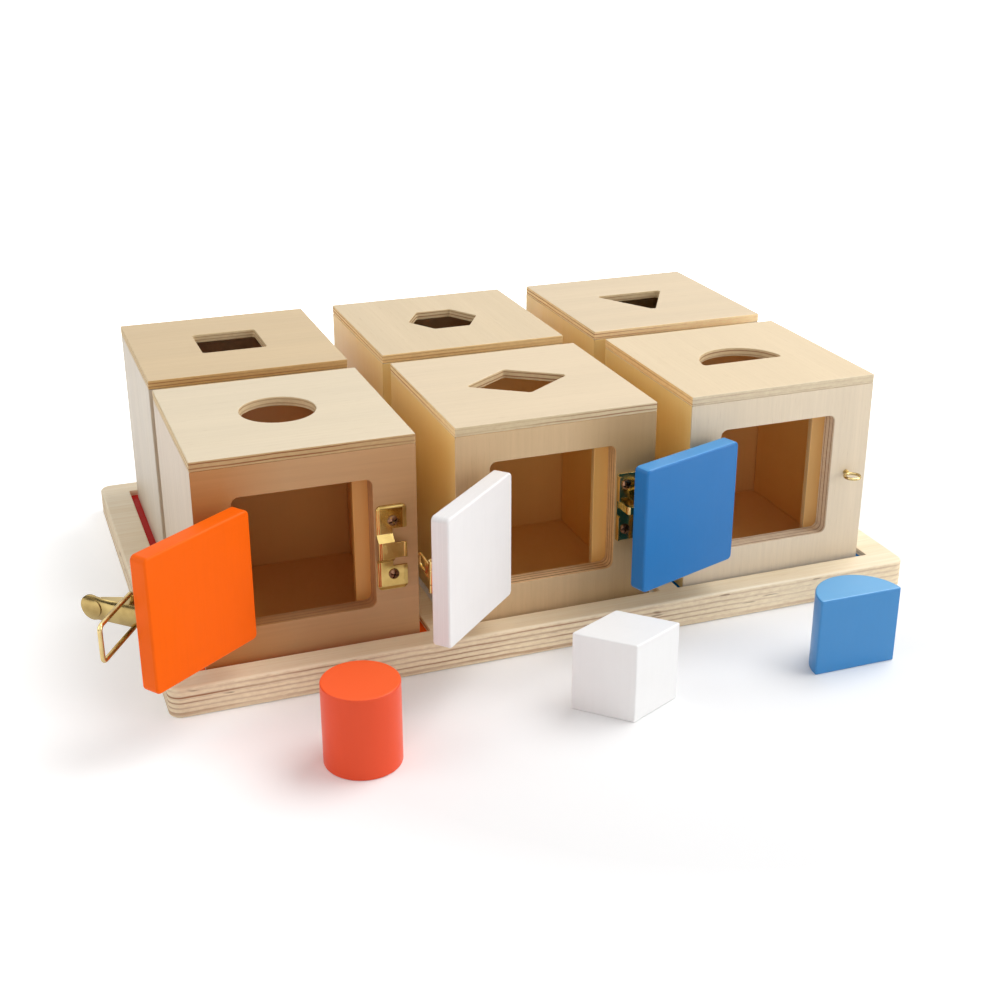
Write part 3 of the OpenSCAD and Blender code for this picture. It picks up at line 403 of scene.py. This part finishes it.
for k, shape in enumerate(shapes):
    column, inFront = k % 3, shape in frontRow
    shift = (0.37 * k, 0.61 * k + 0.2, 0.23 * k)  # each box is cut from its own sheet
    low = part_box(shape + "_lid")[0]
    light = boxLook["lidLight"][shape]
    rimLightShade = boxLook["lidRimLightShade"][shape]
    lid = {
        "name": shape + "LidPly", "axis": zAxis, "low": low.z, "thick": boxLook["lidThick"],
        "plies": 5, "uneven": 120, "band": (-0.95, -0.35), "seam": 0.12,
        "grain": boxLook["lidGrain"][shape], "shift": shift, "light": light,
        "dark": scaleTone(light, 0.96), "tint": scaleTone(light, 0.89), "figure": 0.5,
        "rimLightShade": list(rimLightShade.items()),
        "rimFrom": {side: low.dot(Vector(side)) - boxLook["rimDeep"] for side in rimLightShade},
    }
    dress(nodes[shape + "_lid"], boardMaterial(lid))
    easeEdges(nodes[shape + "_lid"], boxLook["ease"], flatten=False)
    low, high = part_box(shape + "_front")
    light = boxLook["frontLight"][shape]
    front = {
        "name": shape + "FrontPly", "axis": yAxis, "low": low.y, "thick": boxLook["frontThick"],
        "plies": 7, "uneven": 150, "band": (-0.95, -0.5), "seam": 0.12,
        "edgeLight": scaleTone(light, boxLook["frontEdge"][shape]),
        "grain": boxLook["frontGrain"][shape], "shift": shift, "light": light,
        "dark": scaleTone(light, 0.92), "tint": scaleTone(light, 0.85), "figure": 0.4,
    }
    if shape in boxLook["frontPaintedLight"]:
        start, end, front["shade"] = boxLook["frontPaintedLight"][shape]
        middle = (low.x + high.x) / 2
        front["shadeReach"] = (middle + start * mm, middle + end * mm)
    dress(nodes[shape + "_front"], boardMaterial(front))
    easeEdges(nodes[shape + "_front"], boxLook["ease"], flatten=False)
    low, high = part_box(shape + "_walls")
    light = boxLook["wallLight"][shape]
    walls = {
        "name": shape + "WallVeneer", "grain": zAxis, "shift": (shift[0] + 2, *shift[1:]),
        "light": light, "dark": scaleTone(light, 0.90), "tint": scaleTone(light, 0.82),
        "figure": 0.5, "middle": (low + high) / 2, "outer": column - 1,
        "inside": boxLook["inside"][shape], "doorway": boxLook["doorway"][shape],
        "paintedGapGlowSides": [(x, 0, 0) for x in (-1, 1) if 0 <= column + x <= 2],
    }
    walls["paintedGapGlowSides"].append((0, 1 if inFront else -1, 0))
    dress(nodes[shape + "_walls"], veneerMaterial(walls))
    easeEdges(nodes[shape + "_walls"], boxLook["ease"])
print("boxes done")


# where things are on a box: its face seen from outside (x right, y up, z out) and its door

def faceFrame(shape):
    low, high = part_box(shape + "_front")
    pin = joints[shape + "_door_swing"]["pos_m"]
    inFront = shape in frontRow
    right = Vector((1, 0, 0)) if inFront else Vector((-1, 0, 0))
    out = Vector((0, -1, 0)) if inFront else Vector((0, 1, 0))
    origin = Vector(((low.x + high.x) / 2, low.y if inFront else high.y, pin[2]))
    turned = Matrix((right, Vector(zAxis), out)).transposed().to_4x4()
    return Matrix.Translation(origin) @ turned


def doorFrame(shape):
    face = faceFrame(shape)
    swing = joints[shape + "_door_swing"]
    opened = math.radians(-swing["range_deg"][0])
    pin = face.inverted() @ Vector(swing["pos_m"])
    pin.y = 0
    turn = Matrix.Rotation(-opened, 4, "Y")
    return face @ Matrix.Translation(pin) @ turn @ Matrix.Translation(-pin)


# painted doors and blocks

paintLook = {
    # noise: scale, detail, roughness
    "cloud": ((38, 38, 38), 4.0, 0.6), "streak": ((520, 520, 26), 3.0, 0.55),
    "peel": ((1300, 1300, 1300), 2.0, 0.5),
    "cloudRange": (0.3, 0.72), "cloudTone": 0.72, "streakRange": (0.45, 0.75), "streakTone": 0.80,
    "streakRelief": 0.7, "peelRelief": 0.3, "roughRange": (0.3, 0.7), "rougher": (-0.05, 0.06),
    "edgeTurn": 0.5, "plyShare": 0.10, "seamShare": 0.45, "seamTone": 0.62, "seamRelief": 0.8,
    "topTurn": 0.8, "topShare": 0.85, "deep": 0.12 * mm,
}
doorLook = {
    "paint": doorPaint,
    "gloss": {
        "round": 0.12, "rhombus": 0.30, "half_round": 0.40,
        "square": 0.25, "hexagon": 0.25, "triangle": 0.30,
    },
    "rough": 0.40, "bump": 0.10, "mottle": 0.10, "ease": 0.4,
    "paintedTopLight": {"half_round": tone(72, 152, 212)},
    "thick": 10.5 * mm, "plies": 7, "uneven": 150, "band": (-0.25, 0.3), "seam": 0.5,
    "shift": (0.2, 0.5, 0.1),
}
blockLook = {
    "paint": dict(
        doorPaint,
        round=tone(236, 84, 48), half_round=tone(42, 131, 194), rhombus=tone(243, 242, 241)),
    "gloss": dict(doorLook["gloss"], round=0.20, half_round=0.70),
    "rough": 0.34, "bump": 0.03, "mottle": 0.08, "ease": 0.9, "easeSegments": 3,
    "paintedTopLight": {"round": tone(254, 104, 52), "half_round": tone(98, 172, 221)},
}


def paintMaterial(name, shape, look, plies=None):
    mat, tree, shader = newMaterial(name)
    spot, normal = place(tree)
    colour = look["paint"][shape]
    cloud, streak, peel = [
        grainNoise(tree, spot, *paintLook[kind]) for kind in ("cloud", "streak", "peel")]
    share = remap(tree, cloud, *paintLook["cloudRange"], 0.0, look["mottle"])
    paint = mixTone(tree, share, colour, scaleTone(colour, paintLook["cloudTone"]))
    share = remap(tree, streak, *paintLook["streakRange"], 0.0, look["mottle"])
    paint = mixTone(tree, share, paint, scaleTone(colour, paintLook["streakTone"]))
    relief = calc(tree, "ADD", times(tree, streak, paintLook["streakRelief"]),
                  times(tree, peel, paintLook["peelRelief"]))
    if plies:  # the plies show faintly through the paint on the edges
        flatness = calc(tree, "ABSOLUTE", measure(tree, normal, plies["axis"]))
        onEdge = calc(tree, "LESS_THAN", flatness, paintLook["edgeTurn"])
        dark, seam = plyBands(tree, spot, plies)
        shade = calc(tree, "ADD", times(tree, dark, paintLook["plyShare"]), seam)
        shade = times(tree, onEdge, shade)
        share = times(tree, shade, paintLook["seamShare"])
        paint = mixTone(tree, share, paint, scaleTone(colour, paintLook["seamTone"]))
        relief = calc(tree, "SUBTRACT", relief, times(tree, shade, paintLook["seamRelief"]))
    if shape in look["paintedTopLight"]:  # painted light: faces looking up are painted lighter, for the light falling from above
        onTop = turnedTo(tree, normal, zAxis, paintLook["topTurn"])
        share = times(tree, onTop, paintLook["topShare"])
        paint = mixTone(tree, share, paint, look["paintedTopLight"][shape])
    tree.links.new(paint, shader.inputs["Base Color"])
    least, most = [look["rough"] + by for by in paintLook["rougher"]]
    rough = remap(tree, cloud, *paintLook["roughRange"], least, most)
    tree.links.new(rough, shader.inputs["Roughness"])
    shader.inputs["Specular IOR Level"].default_value = look["gloss"][shape]
    setBump(tree, shader, relief, look["bump"], paintLook["deep"])
    return mat


for shape in shapes:
    door = doorFrame(shape)
    outward = door.to_3x3() @ Vector(zAxis)
    back = door.translation.dot(outward) - doorLook["thick"]
    plies = dict(doorLook, axis=tuple(outward), low=back)
    dress(nodes[shape + "_door"], paintMaterial(shape + "DoorPaint", shape, doorLook, plies))
    easeEdges(nodes[shape + "_door"], doorLook["ease"])
    dress(nodes[shape + "_block"], paintMaterial(shape + "BlockPaint", shape, blockLook))
    easeEdges(nodes[shape + "_block"], blockLook["ease"], blockLook["easeSegments"])
print("doors and blocks done")


# brass fittings

brass = {
    "ease": 0.16, "plateEase": 0.34,
    # noise: scale, detail, roughness
    "stain": ((70, 70, 70), 3.0, 0.5), "scuff": ((2600, 2600, 420), 3.0, 0.6),
    "dents": ((95, 95, 95), 1.0, 0.4),
    "stainRange": (0.35, 0.78), "wornRange": (0.3, 0.7), "worn": (-0.05, 0.08),
    "scuffRange": (0.4, 0.8), "scuffed": (0.0, 0.10), "scuffRelief": 0.03, "dentRelief": 0.25,
    "rim": 2.2 * mm, "rimTurn": 0.45, "crown": 0.9, "crownWide": 6.5 * mm, "deep": 1.6 * mm,
}
polished = {
    "name": "polishedBrass", "bright": tone(222, 200, 138), "deep": tone(178, 148, 86),
    "rough": 0.10,
}
pressed = {
    "name": "pressedBrass", "bright": tone(210, 182, 114), "deep": tone(164, 130, 68),
    "rough": 0.10, "plate": "toggle_catch",
}
handled = {
    "name": "handledBrass", "bright": tone(172, 150, 98), "deep": tone(126, 100, 56),
    "rough": 0.12, "crown": "toggle_lever_turn",
}
wire = {
    "name": "paleBrassWire", "bright": tone(206, 184, 130), "deep": tone(160, 130, 80),
    "rough": 0.20,
}
plateNodes = [
    "toggle_base", "toggle_catch", "toggle_lever", "hasp_leaf", "hasp_staple", "hasp_strap"]
# the bevel fits these with their faces as they are
wholeNodes = ["hook", "screw_eye", "hasp_leaf", "hasp_strap", "bolt_rod"]
wholeNodes += [shape + "_door_leaf" for shape in shapes]


def brassMaterial(look):
    mat, tree, shader = newMaterial(look["name"])
    spot = place(tree)[0]
    stain, scuff, dents = [
        grainNoise(tree, spot, *brass[kind]) for kind in ("stain", "scuff", "dents")]
    colour = mixTone(tree, remap(tree, stain, *brass["stainRange"]), look["bright"], look["deep"])
    tree.links.new(colour, shader.inputs["Base Color"])
    shader.inputs["Metallic"].default_value = 1.0
    least, most = [look["rough"] + by for by in brass["worn"]]
    worn = remap(tree, stain, *brass["wornRange"], least, most)
    worn = calc(tree, "ADD", worn, remap(tree, scuff, *brass["scuffRange"], *brass["scuffed"]))
    tree.links.new(worn, shader.inputs["Roughness"])
    # pressed sheet is never quite flat
    relief = calc(tree, "ADD", times(tree, scuff, brass["scuffRelief"]), dents)
    relief = times(tree, relief, brass["dentRelief"])
    if "plate" in look:  # the press rolls the rim of the plate back
        low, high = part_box(look["plate"])
        for axis, k in ((xAxis, 0), (zAxis, 2)):
            along = measure(tree, spot, axis)
            fromLow = calc(tree, "SUBTRACT", along, low[k])
            toHigh = calc(tree, "SUBTRACT", high[k], along)
            inset = calc(tree, "MINIMUM", fromLow, toHigh)
            feeds = {"Value": inset, "From Max": brass["rim"], "To Max": brass["rimTurn"]}
            rolled = addNode(tree, "ShaderNodeMapRange", feeds, interpolation_type="SMOOTHSTEP")
            relief = calc(tree, "ADD", relief, rolled.outputs["Result"])
    if "crown" in look:  # the plate is a little rounded across its width
        across = offset(tree, spot, zAxis, joints[look["crown"]]["pos_m"][2])
        across = calc(tree, "DIVIDE", across, brass["crownWide"])
        drop = times(tree, times(tree, across, across), brass["crown"])
        relief = calc(tree, "SUBTRACT", relief, drop)
    setBump(tree, shader, relief, 1.0, brass["deep"])
    return mat


polishedMat, wireMat = brassMaterial(polished), brassMaterial(wire)
brassMats = {
    "toggle_catch": brassMaterial(pressed), "toggle_lever": brassMaterial(handled),
    "toggle_bail": wireMat, "hook": wireMat, "screw_eye": wireMat,
}
woodParts = ("_lid", "_front", "_walls", "_door", "_block")
woodNodes = {"base_board"} | {shape + part for shape in shapes for part in woodParts}
for name in sorted(set(nodes) - woodNodes):
    dress(nodes[name], brassMats.get(name, polishedMat))
    width = brass["plateEase"] if name in plateNodes else brass["ease"]
    easeEdges(nodes[name], width, flatten=name not in wholeNodes)
print("brass done")


# cross-head wood screws

screwLook = {
    # lengths in head radii, turns in radians, angle in degrees
    "cells": 11, "arm": 0.10, "reach": 0.70, "sink": 0.5, "taper": 0.82,
    "rim": 0.5, "bury": 0.5, "widen": 0.9, "dome": 0.34,
    "firstTurn": 0.35, "nextTurn": 0.9, "splitAngle": 38,
}
screwMetal = {
    "name": "bronzeScrew", "bright": tone(138, 102, 78), "deep": tone(84, 56, 42), "rough": 0.20,
}
# painted shade: the sunk cross of a screw head gets this near-black metal
slotShadeLook = {
    "name": "screwSlotShade", "bright": tone(70, 46, 34), "deep": tone(38, 24, 18), "rough": 0.5,
}
# frame, box, body, height of the metal under the head, head radius, places in mm
screwSets = {
    "toggle_base_screws": (
        doorFrame, "round", "round_door", 1.0, 2.9, [(22.9, 13.5), (22.9, -19.5)]),
    "toggle_catch_screws": (
        faceFrame, "round", "round_box", 1.0, 2.9, [(45.6, 12.9), (45.6, -18.9)]),
    "hasp_leaf_screws": (
        doorFrame, "rhombus", "rhombus_door", 1.1, 2.5, [(17.5, 7.8), (17.5, -7.8)]),
    "hasp_staple_screws": (
        faceFrame, "rhombus", "rhombus_box", 1.0, 2.9, [(42, 13.8), (42, -13.8)]),
    "bolt_body_screws": (
        doorFrame, "square", "square_door", 1.0, 1.9,
        [(11.6, 6.4), (11.6, -6.4), (22.4, 6.4), (22.4, -6.4)]),
    "bolt_keeper_screws": (
        faceFrame, "square", "square_box", 1.0, 2.2, [(41, 9.3), (41, -9.3)]),
    "turn_button_screw": (faceFrame, "hexagon", "hexagon_box", 3.65, 3.6, [(43, 0)]),
}
leafHeights = [hinge + by for hinge in (15, -15) for by in (6.6, -6.6)]
for shape in shapes:
    onBox, onDoor = [[(x, y) for y in leafHeights] for x in (-46.9, -33.1)]
    screwSets[shape + "_hinge_screws"] = (faceFrame, shape, shape + "_box", 1.1, 2.2, onBox)
    screwSets[shape + "_leaf_screws"] = (doorFrame, shape, shape + "_door", 1.1, 2.2, onDoor)


def inCross(face):
    near, far = sorted(abs(c) for c in face.calc_center_median()[:2])
    return near < screwLook["arm"] and far < screwLook["reach"]


def only(kind, geom):
    return [g for g in geom if isinstance(g, kind)]


def screwHead(bm, radius, spot, turn):
    cells = screwLook["cells"]
    made = bmesh.ops.create_grid(bm, x_segments=cells, y_segments=cells, size=1.0)
    head = made["verts"]
    cross = [f for f in dict.fromkeys(f for v in head for f in v.link_faces) if inCross(f)]
    rim = list(dict.fromkeys(e for v in head for e in v.link_edges if e.is_boundary))
    for v in head:  # square grid to a domed disc, with wide cells in the middle for the cross
        x, y = [c * (1 + screwLook["widen"] * (1 - abs(c))) for c in v.co[:2]]
        v.co.x = x * math.sqrt(1 - y * y / 2)
        v.co.y = y * math.sqrt(1 - x * x / 2)
        v.co.z = screwLook["dome"] * (1 - v.co.x ** 2 - v.co.y ** 2)
    skirt = only(bmesh.types.BMVert, bmesh.ops.extrude_edge_only(bm, edges=rim)["geom"])
    bmesh.ops.translate(bm, verts=skirt, vec=(0, 0, -screwLook["rim"]))
    geom = bmesh.ops.extrude_face_region(bm, geom=cross)["geom"]
    # painted shade in the cross recess, from the second material
    for face in only(bmesh.types.BMFace, geom):
        face.material_index = 1
    sunk = only(bmesh.types.BMVert, geom)
    bmesh.ops.scale(bm, verts=sunk, vec=(screwLook["taper"], screwLook["taper"], 1.0))
    bmesh.ops.translate(bm, verts=sunk, vec=(0, 0, -screwLook["sink"]))
    bmesh.ops.delete(bm, geom=[f for f in cross if f.is_valid], context="FACES")
    every = [v for v in [*head, *skirt, *sunk] if v.is_valid]
    sized = Matrix.Diagonal((radius * mm, radius * mm, radius * mm, 1.0))
    bmesh.ops.transform(bm, matrix=spot @ Matrix.Rotation(turn, 4, "Z") @ sized, verts=every)


screwMat, slotShadeMat = brassMaterial(screwMetal), brassMaterial(slotShadeLook)
for name, (spotFrame, shape, body, under, radius, spots) in screwSets.items():
    height = under + screwLook["bury"] * screwLook["rim"] * radius
    bm = bmesh.new()
    for k, (x, y) in enumerate(spots):
        spot = spotFrame(shape) @ Matrix.Translation(Vector((x, y, height)) * mm)
        screwHead(bm, radius, spot, screwLook["firstTurn"] + screwLook["nextTurn"] * k)
    bmesh.ops.holes_fill(bm, edges=[e for e in bm.edges if e.is_boundary], sides=0)
    bmesh.ops.recalc_face_normals(bm, faces=bm.faces)
    mesh = bpy.data.meshes.new(name)
    bm.to_mesh(mesh)
    bm.free()
    mesh.polygons.foreach_set("use_smooth", [True] * len(mesh.polygons))
    screws = addToScene(name, mesh)
    dress(screws, screwMat)
    screws.data.materials.append(slotShadeMat)
    sharp = screws.modifiers.new("sharp", "EDGE_SPLIT")
    sharp.split_angle = math.radians(screwLook["splitAngle"])
    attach(screws, body)
print("screws done:", len(screwSets), "sets")


# floor, light and camera

studio = {
    "floorReach": 12.0, "paper": (0.86, 0.86, 0.86, 1), "paperFleck": (0.8, 0.8, 0.8, 1),
    "fleckScale": (900, 900, 900), "fleckRange": (0.3, 0.7, 0.0, 0.02),
    "floorRough": 0.9, "floorGloss": 0.1,
    # painted glow: the paper glows white for camera and glossy rays, faintly near the part and
    # fully further out, so it fades to plain white and lightens the far shadows
    "fadeMiddle": (0.09, -0.12, 0.0), "fade": (0.26, 0.62, 0.08, 1.0),
    # height and brightness of what the brass mirrors: dim low down, bright above
    "mirrored": (0.05, 0.50, 0.10, 1.5), "ambient": 0.37, "white": (1, 1, 1, 1),
    "lampAim": (0, -0.05, 0.06),
    "lamps": {
        "key": {"place": (0.80, -0.03, 1.38), "size": 1.2, "power": 16.2},
        "fill": {"place": (1.15, -0.95, 0.45), "size": 0.8, "power": 6.8},
        "left": {"place": (-1.25, -0.15, 0.7), "size": 1.0, "power": 4.6},
        "front": {"place": (-0.45, -1.50, 0.25), "size": 0.8, "power": 2.2},
    },
    "camera": (-0.3000, -0.8383, 0.4132), "look": (0.3225, 0.8612, -0.3928),
    "lens": 53.8, "sensor": 36, "nearest": 0.01,
}


def pointAlong(obj, direction):
    obj.rotation_euler = Vector(direction).to_track_quat("-Z", "Y").to_euler()


bm = bmesh.new()
bmesh.ops.create_grid(bm, x_segments=1, y_segments=1, size=studio["floorReach"])
mesh = bpy.data.meshes.new("floor")
bm.to_mesh(mesh)
bm.free()
floor = addToScene("floor", mesh)
floorMat, tree, shader = newMaterial("floorPaper")
spot = place(tree)[0]
fleck = remap(tree, grainNoise(tree, spot, studio["fleckScale"]), *studio["fleckRange"])
paper = mixTone(tree, fleck, studio["paper"], studio["paperFleck"])
tree.links.new(paper, shader.inputs["Base Color"])
shader.inputs["Roughness"].default_value = studio["floorRough"]
shader.inputs["Specular IOR Level"].default_value = studio["floorGloss"]
ray = addNode(tree, "ShaderNodeLightPath")
seen = calc(tree, "MAXIMUM", ray.outputs["Is Camera Ray"], ray.outputs["Is Glossy Ray"])
seen = calc(tree, "MAXIMUM", seen, ray.outputs["Is Transmission Ray"])
shader.inputs["Emission Color"].default_value = studio["white"]
feeds = {0: spot, 1: studio["fadeMiddle"]}
away = addNode(tree, "ShaderNodeVectorMath", feeds, operation="DISTANCE").outputs["Value"]
glow = remap(tree, away, *studio["fade"])
tree.links.new(times(tree, seen, glow), shader.inputs["Emission Strength"])
dress(floor, floorMat)

world = bpy.data.worlds.new("studioWhite")
scene.world = world
world.use_nodes = True
tree = world.node_tree
sky = tree.nodes["Background"]
sky.inputs["Color"].default_value = studio["white"]
ray = addNode(tree, "ShaderNodeLightPath")
seen = calc(tree, "MAXIMUM", ray.outputs["Is Camera Ray"], ray.outputs["Is Transmission Ray"])
direct = remap(tree, seen, 0.0, 1.0, studio["ambient"], 1.0)
mirrored = remap(tree, measure(tree, place(tree)[0], zAxis), *studio["mirrored"])
glossy = ray.outputs["Is Glossy Ray"]
matt = calc(tree, "SUBTRACT", 1.0, glossy)
level = calc(tree, "ADD", times(tree, glossy, mirrored), times(tree, matt, direct))
tree.links.new(level, sky.inputs["Strength"])

for name, lamp in studio["lamps"].items():
    light = bpy.data.lights.new(name, "AREA")
    light.shape = "DISK"
    light.size = lamp["size"]
    light.energy = lamp["power"]
    holder = addToScene(name, light)
    holder.location = lamp["place"]
    pointAlong(holder, Vector(studio["lampAim"]) - Vector(lamp["place"]))

eye = bpy.data.cameras.new("eye")
eye.lens = studio["lens"]
eye.sensor_width = studio["sensor"]
eye.clip_start = studio["nearest"]
camera = addToScene("eye", eye)
camera.location = studio["camera"]
pointAlong(camera, studio["look"])
scene.camera = camera
scene.view_settings.view_transform = "Standard"
print("stage done")
